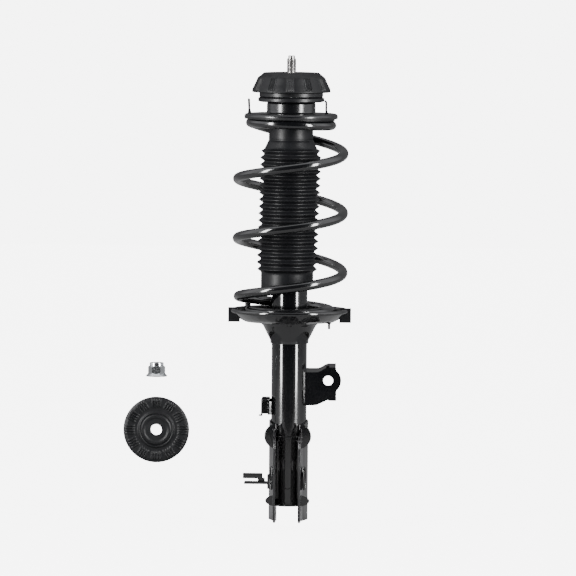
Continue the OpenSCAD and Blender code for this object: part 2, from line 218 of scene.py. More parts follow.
@cache
def dust_group() -> bpy.types.NodeTree:
    """Pale dust that settles on faces that look up, broken by noise.

    Returns:
        The group, with inputs Vector, Amount, Scale and output Mask.
    """
    tree, source, sink = new_group("settled_dust", {"Vector": None, "Amount": 0.1, "Scale": 160.0}, ("Mask",))
    link = tree.links.new
    geometry = add_node(tree, "ShaderNodeNewGeometry")
    parts = add_node(tree, "ShaderNodeSeparateXYZ")
    up = add_node(tree, "ShaderNodeMapRange", DUST_UPWARD)
    noise = add_node(tree, "ShaderNodeTexNoise", {"Detail": 5.0})
    spots = add_node(tree, "ShaderNodeMapRange", DUST_SPOTS)
    both = add_node(tree, "ShaderNodeMath", operation="MULTIPLY")
    scaled = add_node(tree, "ShaderNodeMath", operation="MULTIPLY")
    link(geometry.outputs["Normal"], parts.inputs["Vector"])
    link(parts.outputs["Z"], up.inputs["Value"])
    link(source.outputs["Vector"], noise.inputs["Vector"])
    link(source.outputs["Scale"], noise.inputs["Scale"])
    link(noise.outputs["Fac"], spots.inputs["Value"])
    link(up.outputs["Result"], both.inputs[0])
    link(spots.outputs["Result"], both.inputs[1])
    link(both.outputs["Value"], scaled.inputs[0])
    link(source.outputs["Amount"], scaled.inputs[1])
    link(scaled.outputs["Value"], sink.inputs["Mask"])
    return tree


@dataclass(frozen=True)
class Finish:
    """One surface finish.

    Attributes:
        name: The material's name.
        color: Base colour, linear.
        shade: Base colour where the slow blotches lie.
        roughness: Roughness of the clean surface.
        roughness_swing: How far the blotches move the roughness either way.
        metallic: 1 for bare metal.
        coat: Weight of the clear top layer.
        coat_roughness: Roughness of that layer.
        specular: Specular level.
        grain_scale: Noise scale of the fine grain, per metre.
        grain_depth: Bump distance of the grain, in metres.
        blotch_scale: Noise scale of the slow variation, per metre.
        dust: How much dust lies on upward faces.
        stretch: Scale of the object coordinates along X, Y and Z, which draws the grain out.
    """

    name: str
    color: tuple[float, float, float]
    shade: tuple[float, float, float]
    roughness: float
    roughness_swing: float = 0.05
    metallic: float = 0.0
    coat: float = 0.0
    coat_roughness: float = 0.05
    specular: float = 0.5
    grain_scale: float = 900.0
    grain_depth: float = 0.00002
    blotch_scale: float = 40.0
    dust: float = 0.0
    stretch: tuple[float, float, float] = (1.0, 1.0, 1.0)

    @cache
    def build(self) -> bpy.types.Material:
        """Makes the material once.

        Returns:
            The material.
        """
        material = bpy.data.materials.new(self.name)
        material.use_nodes = True
        tree = material.node_tree
        link = tree.links.new
        shader = tree.nodes["Principled BSDF"]
        for socket, value in (
            ("Coat Roughness", self.coat_roughness),
            ("Coat Weight", self.coat),
            ("Metallic", self.metallic),
            ("Specular IOR Level", self.specular),
        ):
            shader.inputs[socket].default_value = value

        place = add_node(tree, "ShaderNodeTexCoord")
        mapping = add_node(tree, "ShaderNodeMapping", {"Scale": self.stretch})
        link(place.outputs["Object"], mapping.inputs["Vector"])

        grain = add_node(tree, "ShaderNodeGroup", node_tree=grain_group())
        grain.inputs["Scale"].default_value = self.grain_scale
        grain.inputs["Blotch scale"].default_value = self.blotch_scale
        link(mapping.outputs["Vector"], grain.inputs["Vector"])

        tints = {"A": (*self.color, 1.0), "B": (*self.shade, 1.0)}
        color = add_node(tree, "ShaderNodeMix", tints, data_type="RGBA")
        link(grain.outputs["Blotch"], color.inputs["Factor"])
        result = color.outputs["Result"]
        if self.dust > 0.0:
            dust = add_node(tree, "ShaderNodeGroup", node_tree=dust_group())
            dust.inputs["Amount"].default_value = self.dust
            link(place.outputs["Object"], dust.inputs["Vector"])
            dusty = add_node(tree, "ShaderNodeMix", {"B": DUST_COLOR}, data_type="RGBA")
            link(dust.outputs["Mask"], dusty.inputs["Factor"])
            link(result, dusty.inputs["A"])
            result = dusty.outputs["Result"]
        link(result, shader.inputs["Base Color"])

        swing = {"To Min": self.roughness - self.roughness_swing, "To Max": self.roughness + self.roughness_swing}
        rough = add_node(tree, "ShaderNodeMapRange", BLOTCH_SPAN | swing)
        link(grain.outputs["Blotch"], rough.inputs["Value"])
        link(rough.outputs["Result"], shader.inputs["Roughness"])

        bump = add_node(tree, "ShaderNodeBump", {"Strength": 1.0, "Distance": self.grain_depth})
        link(grain.outputs["Height"], bump.inputs["Height"])
        link(bump.outputs["Normal"], shader.inputs["Normal"])
        return material


GLOSS_PAINT = Finish("gloss_black_paint", (0.0013, 0.0014, 0.0018), (0.0024, 0.0026, 0.0031), 0.14, 0.035,
                     coat=1.0, coat_roughness=0.05, grain_scale=240.0, grain_depth=0.00001,
                     blotch_scale=18.0, dust=0.015)
SATIN_PAINT = Finish("satin_black_paint", (0.0015, 0.0017, 0.0022), (0.003, 0.0033, 0.004), 0.25, 0.04,
                     coat=0.6, coat_roughness=0.2, grain_scale=400.0, grain_depth=0.000015,
                     blotch_scale=25.0, dust=0.015)
SPRING_COAT = Finish("spring_coating", (0.0016, 0.0018, 0.0022), (0.0032, 0.0034, 0.004), 0.17, 0.04,
                     coat=0.9, coat_roughness=0.06, grain_scale=420.0, grain_depth=0.000015,
                     blotch_scale=30.0, dust=0.01)
MOUNT_RUBBER = Finish("mount_rubber", (0.0036, 0.0038, 0.0044), (0.0072, 0.0075, 0.0085), 0.42, 0.06,
                      specular=0.27, grain_scale=1500.0, grain_depth=0.00006, blotch_scale=70.0, dust=0.03)
BOOT_RUBBER = Finish("boot_rubber", (0.0026, 0.0028, 0.0036), (0.0055, 0.0058, 0.007), 0.4, 0.06,
                     specular=0.3, grain_scale=1100.0, grain_depth=0.00004, blotch_scale=45.0, dust=0.01)
BLACK_PLASTIC = Finish("black_plastic", (0.0035, 0.0037, 0.0045), (0.0065, 0.0068, 0.008), 0.34, 0.05,
                       specular=0.4, grain_scale=1900.0, grain_depth=0.00003, blotch_scale=60.0, dust=0.02)
PALE_PLASTIC = Finish("pale_plastic", (0.62, 0.58, 0.47), (0.54, 0.5, 0.4), 0.42)
BLUE_NYLON = Finish("blue_nylon", (0.03, 0.09, 0.32), (0.02, 0.07, 0.26), 0.38)
STUD_STEEL = Finish("stud_steel", (0.40, 0.39, 0.38), (0.24, 0.235, 0.23), 0.26, 0.06, metallic=1.0,
                    grain_scale=700.0, grain_depth=0.000004, blotch_scale=120.0)
ZINC_PLATE = Finish("zinc_plate", (0.88, 0.91, 0.92), (0.72, 0.76, 0.78), 0.18, 0.05, metallic=1.0,
                    grain_scale=800.0, grain_depth=0.000004, blotch_scale=90.0)
PLAIN_STEEL = Finish("plain_steel", (0.46, 0.46, 0.47), (0.36, 0.35, 0.35), 0.34, 0.08, metallic=1.0,
                     grain_scale=500.0, grain_depth=0.00002, stretch=(1.0, 1.0, 0.06))
SINTERED = Finish("sintered_iron", (0.16, 0.155, 0.15), (0.11, 0.105, 0.1), 0.55, 0.08, metallic=1.0,
                  grain_scale=1800.0, grain_depth=0.00008)
BRONZE = Finish("bronze_lining", (0.36, 0.24, 0.12), (0.27, 0.17, 0.08), 0.4, 0.06, metallic=0.8)
FOAM = Finish("microcellular_foam", (0.60, 0.47, 0.24), (0.50, 0.38, 0.18), 0.8, 0.05,
              grain_scale=1600.0, grain_depth=0.00015)


# The finish of each CAD node that keeps its own shape.
KEPT_NODES = {
    "mount_core": PLAIN_STEEL, "bump_stop_cup": BLACK_PLASTIC, "bump_stop": FOAM, "rebound_bumper": BOOT_RUBBER,
    "rebound_stop": PLAIN_STEEL, "valve_discs": PLAIN_STEEL, "piston": SINTERED, "piston_band": BRONZE,
    "piston_nut": ZINC_PLATE, "bearing_cage": PALE_PLASTIC, "bearing_balls": STUD_STEEL,
    "upper_spring_seat": SATIN_PAINT, "strut_tube": GLOSS_PAINT, "base_cup": GLOSS_PAINT,
    "pressure_cylinder": PLAIN_STEEL, "base_valve": SINTERED, "rod_guide": SINTERED, "guide_bush": BRONZE,
    "rod_seal": BOOT_RUBBER, "strike_cap": BLACK_PLASTIC, "nut_lock_ring": BLUE_NYLON,
}

# Each CAD node whose edges are rounded: the new piece's name, the edges' width in millimetres, the steps across
# them, whether a short edge holds them back, and the finish. The link bracket's edges are so short that unheld
# rounding throws points across it.
ROUNDED_NODES = {
    "bearing_cover": ("bearing_cover_shell", 0.6, 2, True, BLACK_PLASTIC),
    "bearing_housing": ("bearing_housing_shell", 0.5, 2, True, BLACK_PLASTIC),
    "seat_tangs": ("seat_tangs_formed", 0.25, 2, True, MOUNT_RUBBER),
    "upper_spring_pad": ("upper_spring_pad_moulded", 0.3, 2, True, MOUNT_RUBBER),
    "link_bracket": ("link_bracket_formed", 0.8, 2, True, GLOSS_PAINT),
    "hose_bracket": ("hose_bracket_formed", 0.6, 2, False, GLOSS_PAINT),
    "sensor_bracket": ("sensor_bracket_formed", 0.4, 2, False, GLOSS_PAINT),
    "knuckle_bracket": ("knuckle_bracket_formed", 0.9, 2, False, GLOSS_PAINT),
    "bracket_reinforcement": ("bracket_reinforcement_formed", 0.6, 2, False, GLOSS_PAINT),
    "lower_spring_seat": ("lower_spring_seat_formed", 0.4, 2, True, GLOSS_PAINT),
    "lower_spring_pad": ("lower_spring_pad_moulded", 1.5, 3, True, MOUNT_RUBBER),
    "rebound_cap_plate": ("rebound_cap_insert", 0.6, 2, True, MOUNT_RUBBER),
}
SHARP_DEG = 28.0  # edges of those nodes that turn by more than this are rounded
PAD_UNDERSIDE = -55.7 * MM  # the part of the upper pad below this is drawn down
PAD_DROP = 0.5 * MM


def lay(obj: bpy.types.Object, finish: Finish) -> None:
    """Gives an object one finish all over.

    Args:
        obj: The piece.
        finish: What its surface is.
    """
    obj.data.materials.clear()
    obj.data.materials.append(finish.build())


# Mesh building blocks


def in_mm(*pairs: tuple[float, float]) -> list:
    """Outline points from (radius, height) pairs in millimetres.

    Args:
        *pairs: The pairs.

    Returns:
        The same pairs in metres.
    """
    return [(radius * MM, height * MM) for radius, height in pairs]


def read_points(obj: bpy.types.Object) -> Array:
    """Reads the places of an object's points.

    Args:
        obj: The object.

    Returns:
        The places, n by 3.
    """
    points = np.empty(len(obj.data.vertices) * 3)
    obj.data.vertices.foreach_get("co", points)
    return points.reshape(-1, 3)


def arc(center: tuple[float, float], radius: float, start: float, end: float, steps: int = 6) -> list:
    """Points on an arc: center + radius * (cos a, sin a), with a from start to end in degrees.

    Args:
        center: Middle of the arc.
        radius: Its radius.
        start: First angle.
        end: Last angle.
        steps: How many steps it is cut into.

    Returns:
        The points, as pairs.
    """
    angles = np.radians(np.linspace(start, end, steps + 1))
    return [(center[0] + radius * math.cos(a), center[1] + radius * math.sin(a)) for a in angles]


def resample(profile: Sequence[tuple[float, float]], step: float) -> Array:
    """Cuts each straight stretch of a closed outline into steps no longer than step.

    Args:
        profile: The outline's corners, in order.
        step: The longest step.

    Returns:
        An n by 2 array of points.
    """
    corners = np.array(profile, float)
    after = np.roll(corners, -1, axis=0)
    pieces = []
    for start, end in zip(corners, after):
        count = max(1, math.ceil(np.linalg.norm(end - start) / step))
        pieces.append(start + (end - start) * np.arange(count)[:, None] / count)
    return np.concatenate(pieces)


def grid_mesh(name: str, points: Array, wrap_rows: bool, sharp_deg: float = 32.0) -> bpy.types.Object:
    """Makes a mesh from a grid of points whose columns always close on themselves.

    Face (i, j) joins points (i, j), (i, j+1), (i+1, j+1) and (i+1, j). Where the rows don't wrap round, the first
    and the last row are each closed by one face. Faces are turned outwards by the sign of the enclosed volume.

    Args:
        name: The new object's name.
        points: Rows by columns by 3.
        wrap_rows: Whether the last row joins the first.
        sharp_deg: Edges that turn by more than this stay sharp.

    Returns:
        The new object, linked to the scene.
    """
    rows, columns = points.shape[:2]
    index = np.arange(rows * columns).reshape(rows, columns)
    lower = index if wrap_rows else index[:-1]
    upper = np.roll(index, -1, axis=0) if wrap_rows else index[1:]
    quads = np.stack([lower, np.roll(lower, -1, axis=1), np.roll(upper, -1, axis=1), upper], axis=-1)
    faces = quads.reshape(-1, 4).tolist()
    if not wrap_rows:
        faces += [index[0][::-1].tolist(), index[-1].tolist()]
    mesh = bpy.data.meshes.new(name)
    mesh.from_pydata(points.reshape(-1, 3).tolist(), [], faces)
    flat = points.reshape(-1, 3)
    a, b, c, d = (flat[quads.reshape(-1, 4)[:, k]] for k in range(4))
    volume = np.einsum("ij,ij->", a, np.cross(b, c)) + np.einsum("ij,ij->", a, np.cross(c, d))
    if volume < 0.0:
        mesh.flip_normals()
    mesh.polygons.foreach_set("use_smooth", np.ones(len(mesh.polygons), bool))
    mesh.set_sharp_from_angle(angle=math.radians(sharp_deg))
    mesh.update()
    return new_object(name, mesh)


@dataclass
class Turned:
    """A turned shape: a closed outline carried round an axis.

    Attributes:
        name: The piece's name.
        profile: Outline corners as (radius, height) pairs, in order.
        columns: How many steps go round.
        step: Longest step along the outline.
        change: Adds to the radius, from the arrays of radius, angle and height; None leaves it round.
        lift: Adds to the height, in the same way.
        axis: Which way the axis points.
        center: Where the axis starts.
        sharp_deg: Edges that turn by more than this stay sharp.
    """

    name: str
    profile: Sequence[tuple[float, float]]
    columns: int = 96
    step: float = 0.002
    change: RadiusChange | None = None
    lift: RadiusChange | None = None
    axis: Axis = Axis.UP
    center: tuple[float, float, float] = (0.0, 0.0, 0.0)
    sharp_deg: float = 32.0

    def build(self) -> bpy.types.Object:
        """Makes the mesh: a point is (r cos a, r sin a, z), with r and z from the outline and their changes.

        Returns:
            The new object.
        """
        outline = resample(self.profile, self.step)
        angle = np.linspace(0.0, TAU, self.columns, endpoint=False)[None, :]
        radius = outline[:, :1] + 0.0 * angle
        height = outline[:, 1:] + 0.0 * angle
        turn = angle + 0.0 * radius
        new_radius = radius + self.change(radius, turn, height) if self.change else radius
        new_height = height + self.lift(radius, turn, height) if self.lift else height
        points = np.stack([new_radius * np.cos(turn), new_radius * np.sin(turn), new_height], axis=-1)
        if self.axis is Axis.FRONT:
            points = np.stack([points[..., 0], -points[..., 2], points[..., 1]], axis=-1)
        return grid_mesh(self.name, points + np.array(self.center), True, self.sharp_deg)


def smooth_step(value: Array, low: float, high: float) -> Array:
    """The curve 3t^2 - 2t^3, where t runs from 0 at low to 1 at high.

    Args:
        value: Where to read the curve.
        low: Start of the rise.
        high: End of the rise.

    Returns:
        The curve's height, from 0 to 1.
    """
    t = np.clip((value - low) / (high - low), 0.0, 1.0)
    return t * t * (3.0 - 2.0 * t)


def bead(name: str, path: Array, radius: float, ripple: float = 0.12, pitch: float = 0.0022,
         closed: bool = False, sides: int = 10) -> bpy.types.Object:
    """A weld bead along a path: a tube whose radius swells and falls once each pitch.

    The ring at a point stands square to the path, on the two directions that the path's tangent leaves free.

    Args:
        name: The piece's name.
        path: Points along the bead, n by 3.
        radius: The bead's radius.
        ripple: Swell as a share of the radius.
        pitch: Distance between ripples.
        closed: Whether the path joins its own start.
        sides: Sides of the tube.

    Returns:
        The new object.
    """
    if closed:
        tangent = np.roll(path, -1, axis=0) - np.roll(path, 1, axis=0)
    else:
        tangent = np.gradient(path, axis=0)
    tangent /= np.linalg.norm(tangent, axis=1, keepdims=True)
    along = np.concatenate([[0.0], np.cumsum(np.linalg.norm(np.diff(path, axis=0), axis=1))])
    guide = np.where(np.abs(tangent[:, 2:]) > 0.9, np.array([[1.0, 0.0, 0.0]]), np.array([[0.0, 0.0, 1.0]]))
    side = np.cross(tangent, guide)
    side /= np.linalg.norm(side, axis=1, keepdims=True)
    up = np.cross(side, tangent)
    swell = radius * (1.0 + ripple * np.abs(np.sin(math.pi * along / pitch)))
    if not closed:
        ends = np.minimum(along, along[-1] - along)
        swell = swell * np.sqrt(np.clip(ends / (1.2 * radius), 0.04, 1.0))
    a = np.linspace(0.0, TAU, sides, endpoint=False)
    ring = swell[:, None, None] * (np.cos(a)[None, :, None] * side[:, None] + np.sin(a)[None, :, None] * up[:, None])
    return grid_mesh(name, path[:, None] + ring, closed, 60.0)


def refined(frame: dict, node: str) -> bpy.types.Object:
    """A copy of a CAD node with its corners joined up and its edges rounded.

    Args:
        node: The CAD node, one of ROUNDED_NODES.

    Returns:
        The new object, which replaces the node and rides on its body.
    """
    name, width, segments, clamp, finish = ROUNDED_NODES[node]
    mesh = frame["nodes"][node].data.copy()
    mesh.name = name
    work = bmesh.new()
    work.from_mesh(mesh)
    bmesh.ops.remove_doubles(work, verts=work.verts, dist=0.01 * MM)
    bmesh.ops.dissolve_limit(work, angle_limit=math.radians(1.0), verts=work.verts, edges=work.edges)
    bmesh.ops.recalc_face_normals(work, faces=work.faces)
    work.to_mesh(mesh)
    work.free()
    if mesh.attributes.get("custom_normal"):
        mesh.attributes.remove(mesh.attributes["custom_normal"])
    mesh.polygons.foreach_set("use_smooth", np.ones(len(mesh.polygons), bool))
    mesh.set_sharp_from_angle(angle=math.radians(SHARP_DEG))
    obj = new_object(name, mesh)
    rounding = obj.modifiers.new("rounded_edges", "BEVEL")
    rounding.width = width * MM
    rounding.segments = segments
    rounding.limit_method = "ANGLE"
    rounding.angle_limit = math.radians(SHARP_DEG)
    rounding.harden_normals = False
    rounding.use_clamp_overlap = clamp
    shading = obj.modifiers.new("even_shading", "WEIGHTED_NORMAL")
    shading.keep_sharp = False
    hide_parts(node)
    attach(obj, frame["nodes"][node]["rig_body"])
    lay(obj, finish)
    return obj


# Sub-assemblies


@dataclass
class TopMount:
    """Rubber mount, threaded stud and rod.

    Attributes:
        rib_groups: Groups of ribs round the cone.
        ribs: Ribs in one group.
        rib_gap: Angle between neighbouring ribs, in degrees.
        rib_height: How far a rib stands proud of the cone.
        thread_pitch: Pitch of the stud's thread.
        thread_depth: Depth of the thread.
    """

    rib_groups: int = 12
    ribs: int = 4
    rib_gap: float = 3.2
    rib_height: float = 0.9 * MM
    thread_pitch: float = 1.5 * MM
    thread_depth: float = 0.5 * MM

    def _rib_wave(self, turn: Array) -> Array:
        """How strongly each angle lies on a rib, from 0 between ribs to 1 on a rib's crest.

        A group is centred on each step of the circle; inside it, the ribs are narrow raised cosines.

        Args:
            turn: Angles round the axis.

        Returns:
            The strength at each angle.
        """
        step = 360.0 / self.rib_groups
        local = (np.degrees(turn) + step / 2.0) % step - step / 2.0
        half = self.ribs * self.rib_gap / 2.0
        wave = 0.5 - 0.5 * np.cos(TAU * (local + half) / self.rib_gap)
        return np.where(np.abs(local) < half, wave**1.5, 0.0)

    def cone(self) -> bpy.types.Object:
        """The ribbed rubber cone: its radius grows by the rib wave on the slanted side only.

        Returns:
            The cone, which replaces the plain one.
        """
        low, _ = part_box("mount_rubber")
        bottom = low.z
        core_r = 10 * MM
        outline = in_mm((10, 0), (11.5, 0), (12.2, -0.5), (14.5, -0.5), (15.2, 0), (34, 0))
        outline += arc((34.2 * MM, -2.4 * MM), 2.4 * MM, 85, 25, 6)
        outline += in_mm((40.6, -4.6), (42, -6.6), (45.6, -14.8), (48.1, -19.7), (49.2, -22.4))
        outline += arc((48.6 * MM, bottom + 1.3 * MM), 1.3 * MM, 10, -80, 5)
        outline += [(42.5 * MM, bottom), (41.5 * MM, bottom + 0.8 * MM), (core_r, bottom + 0.8 * MM)]

        def proud(radius: Array, turn: Array, height: Array) -> Array:
            """Ribs that start below the shoulder and fade out at the cone's foot.

            Args:
                radius: Distance from the axis.
                turn: Angle round it.
                height: Height along it.

            Returns:
                What to add to the radius.
            """
            reach = smooth_step(-height, 4.5 * MM, 7.0 * MM) * (1.0 - smooth_step(-height, 21.0 * MM, 23.5 * MM))
            slanted = smooth_step(radius, 38.0 * MM, 41.0 * MM)
            return self.rib_height * self._rib_wave(turn) * reach * slanted

        piece = Turned("mount_rubber_ribbed", outline, columns=720, step=1.6 * MM, change=proud,
                       sharp_deg=50.0).build()
        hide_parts("mount_rubber")
        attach(piece, Body.MOUNT.value)
        return piece

    def rod(self) -> bpy.types.Object:
        """The rod with its rolled stud thread, whose radius follows a triangle wave of height plus angle.

        Returns:
            The rod, which replaces the plain one.
        """
        low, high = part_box("piston_rod")
        stud_top = 17.8 * MM
        rows = [(0.02 * MM, low.z), (5.5 * MM, low.z), (6.0 * MM, low.z + 0.5 * MM)]
        rows += in_mm((6, -296), (10, -296), (10, -42.9), (9.3, -42.2), (5.8, -42.2), (5.8, 0))
        rows += [(6.0 * MM, z) for z in np.arange(0.0, stud_top - 0.8 * MM, self.thread_pitch / 8.0)]
        rows += [(5.3 * MM, stud_top), (4.3 * MM, stud_top + 0.3 * MM), (4.3 * MM, high.z - 0.7 * MM),
                 (3.6 * MM, high.z), (0.02 * MM, high.z)]

        def thread(radius: Array, turn: Array, height: Array) -> Array:
            """The groove, only on the full-diameter part of the stud.

            Args:
                radius: Distance from the axis.
                turn: Angle round it.
                height: Height along it.

            Returns:
                What to add to the radius, which is never positive.
            """
            phase = (height / self.thread_pitch + turn / TAU) % 1.0
            depth = np.abs(2.0 * phase - 1.0)
            on = smooth_step(height, 0.3 * MM, 1.2 * MM) * (radius > 5.9 * MM) * (height > 0.0)
            return -self.thread_depth * depth * on

        outline = np.array(rows)
        angle = np.linspace(0.0, TAU, 64, endpoint=False)[None, :]
        radius = outline[:, :1] + 0.0 * angle
        height = outline[:, 1:] + 0.0 * angle
        radius = radius + thread(radius, angle + 0.0 * radius, height)
        points = np.stack([radius * np.cos(angle), radius * np.sin(angle), height], axis=-1)
        piece = grid_mesh("threaded_rod", points, False, 40.0)
        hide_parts("piston_rod")
        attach(piece, Body.MOUNT.value)
        return piece

    def dress(self) -> None:
        """Builds the mount's own pieces."""
        lay(self.cone(), MOUNT_RUBBER)
        lay(self.rod(), STUD_STEEL)


@dataclass
class DustBoot:
    """The bellows between the upper seat and the tube.

    Attributes:
        folds: Number of folds.
        pitch: Height of one fold.
        first_z: Height of the first fold's crest.
        crest: Radius over the folds.
        valley: Radius between them.
        wall: Wall thickness.
        lean: How far the foot hangs over towards -X.
        kept: Share of its length that is left when the damper is fully in. Not used.
    """

    folds: int = 18
    pitch: float = 8.85 * MM
    first_z: float = -99.1 * MM
    crest: float = 38.7 * MM
    valley: float = 34.0 * MM
    wall: float = 1.8 * MM
    lean: float = 3.6 * MM
    kept: float = 0.54

    def _wave(self) -> list[tuple[float, float]]:
        """Crests as small arcs joined by straight flanks to rounder valleys, from the top fold down.

        Returns:
            Outline points, as (radius, height) pairs.
        """
        points: list[tuple[float, float]] = []
        for number in range(self.folds):
            z = self.first_z - number * self.pitch
            radius = {0: 37.3 * MM, self.folds - 1: 37.8 * MM}.get(number, self.crest)
            tip = 0.75 * MM
            points += arc((radius - tip, z), tip, 62, -62, 4)
            if number < self.folds - 1:
                points += arc((self.valley + 1.1 * MM, z - self.pitch / 2), 1.1 * MM, 118, 242, 4)
        return points

    def dress(self) -> None:
        """Builds the bellows: an outline and the same one a wall further in."""
        low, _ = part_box("dust_boot")
        neck = 28.2 * MM
        collar = 33.3 * MM
        outer = [(neck + 1.1 * MM, -41 * MM), (neck + 1.1 * MM, -44 * MM), (neck, -45 * MM), (neck, -84.6 * MM),
                 (neck - 0.15 * MM, -85.0 * MM), (neck - 0.15 * MM, -85.6 * MM), (neck + 0.6 * MM, -86.4 * MM),
                 (31.4 * MM, -92.2 * MM), (33.4 * MM, -96.2 * MM), (34.4 * MM, -97.2 * MM)]
        outer += self._wave()
        outer += [(collar + 0.6 * MM, -252.6 * MM), (collar, -253.5 * MM), (collar, low.z + 1.0 * MM),
                  (collar - 0.4 * MM, low.z)]
        inner = [(radius - self.wall, z) for radius, z in reversed(outer)]
        inner[0] = (collar - self.wall, low.z)
        piece = Turned("dust_boot_bellows", outer + inner, columns=96, step=3.0 * MM, sharp_deg=75.0).build()
        points = read_points(piece)
        points[:, 0] -= self.lean * smooth_step(-points[:, 2], 90 * MM, 262 * MM)
        piece.data.vertices.foreach_set("co", points.ravel())
        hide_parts("dust_boot")
        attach(piece, Body.SEAT.value)
        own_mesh(piece)
        lay(piece, BOOT_RUBBER)


def draw_down(pad: bpy.types.Object) -> None:
    """Draws the upper pad's underside down, so that the end coil beds into it.

    Args:
        pad: The pad.
    """
    points = read_points(pad)
    points[:, 2] -= PAD_DROP * (points[:, 2] < PAD_UNDERSIDE)
    pad.data.vertices.foreach_set("co", points.ravel())


@dataclass
class CoilSpring:
    """The coil spring, as a centre line that a round wire follows.

    Attributes:
        turns: Turns from tip to tip.
        wire: Wire radius.
        radius: Radius of the free coils.
        end_radius: Radius of the drawn-in ends.
        pitch: Rise of one free turn.
        top: Height of the upper tip.
        bottom: Height of the lower end coil.
        lean_deg: Lean of the free coils.
    """

    turns: float = 4.5
    wire: float = 6.0 * MM
    radius: float = 67.3 * MM
    end_radius: float = 51.5 * MM
    pitch: float = 75.65 * MM
    top: float = -64.6 * MM
    bottom: float = -302.9 * MM
    lean_deg: float = 2.2

    @staticmethod
    def _area(value: Array, low: float, high: float) -> Array:
        """Area under smooth_step from low up to value.

        Args:
            value: Where the area ends.
            low: Start of the rise.
            high: End of the rise.

        Returns:
            The area.
        """
        width = high - low
        t = np.clip((value - low) / width, 0.0, 1.0)
        return width * (t**3 - t**4 / 2.0) + np.maximum(0.0, value - high)

    def line(self) -> Array:
        """The wire's middle: a helix that starts flat, runs at full pitch and flattens out again.

        Point t turns along is (r cos 2 pi t, -r sin 2 pi t, top - pitch * climbed(t) - lean), where climbed is
        the area under a curve that rises from 0 to 1 near the top and falls back near the bottom.

        Returns:
            Points along the wire, n by 3.
        """
        t = np.linspace(0.0, self.turns, int(self.turns * 72) + 1)
        height = self.top - self.pitch * (self._area(t, 0.38, 0.68) - self._area(t, 3.1, 4.26))
        height = np.maximum(self.bottom, height)
        free = smooth_step(t, 0.5, 1.0) * (1.0 - smooth_step(t, 3.35, 4.0))
        radius = self.end_radius + (self.radius - self.end_radius) * free
        x = radius * np.cos(TAU * t)
        lean = x * math.tan(math.radians(self.lean_deg)) * (1.0 - smooth_step(t, 3.0, 4.0))
        return np.stack([x, -radius * np.sin(TAU * t), height - lean], axis=-1)

    def _wire_group(self, material: bpy.types.Material) -> bpy.types.NodeTree:
        """Geometry nodes that sweep a circle along the centre line and close its ends.

        Args:
            material: What the wire is painted with.

        Returns:
            The node group.
        """
        tree = bpy.data.node_groups.new("round_wire", "GeometryNodeTree")
        tree.interface.new_socket(name="Geometry", in_out="INPUT", socket_type="NodeSocketGeometry")
        tree.interface.new_socket(name="Geometry", in_out="OUTPUT", socket_type="NodeSocketGeometry")
        source, sink = tree.nodes.new("NodeGroupInput"), tree.nodes.new("NodeGroupOutput")
        curve = add_node(tree, "GeometryNodeMeshToCurve")
        circle = add_node(tree, "GeometryNodeCurvePrimitiveCircle", {"Resolution": 24, "Radius": self.wire})
        sweep = add_node(tree, "GeometryNodeCurveToMesh", {"Fill Caps": True})
        smooth = add_node(tree, "GeometryNodeSetShadeSmooth")
        paint = add_node(tree, "GeometryNodeSetMaterial", {"Material": material})
        link = tree.links.new
        link(source.outputs[0], curve.inputs["Mesh"])
        link(curve.outputs["Curve"], sweep.inputs["Curve"])
        link(circle.outputs["Curve"], sweep.inputs["Profile Curve"])
        link(sweep.outputs["Mesh"], smooth.inputs["Geometry"])
        link(smooth.outputs["Geometry"], paint.inputs["Geometry"])
        link(paint.outputs["Geometry"], sink.inputs[0])
        return tree

    def dress(self) -> None:
        """Makes the spring between the two seats."""
        points = self.line()
        mesh = bpy.data.meshes.new("coil_spring_wire")
        edges = np.stack([np.arange(len(points) - 1), np.arange(1, len(points))], axis=-1)
        mesh.from_pydata(points.tolist(), edges.tolist(), [])
        piece = new_object("coil_spring_wire", mesh)
        lay(piece, SPRING_COAT)
        sweep = piece.modifiers.new("round_wire", "NODES")
        sweep.node_group = self._wire_group(piece.data.materials[0])
        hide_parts("coil_spring")
        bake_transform(piece)


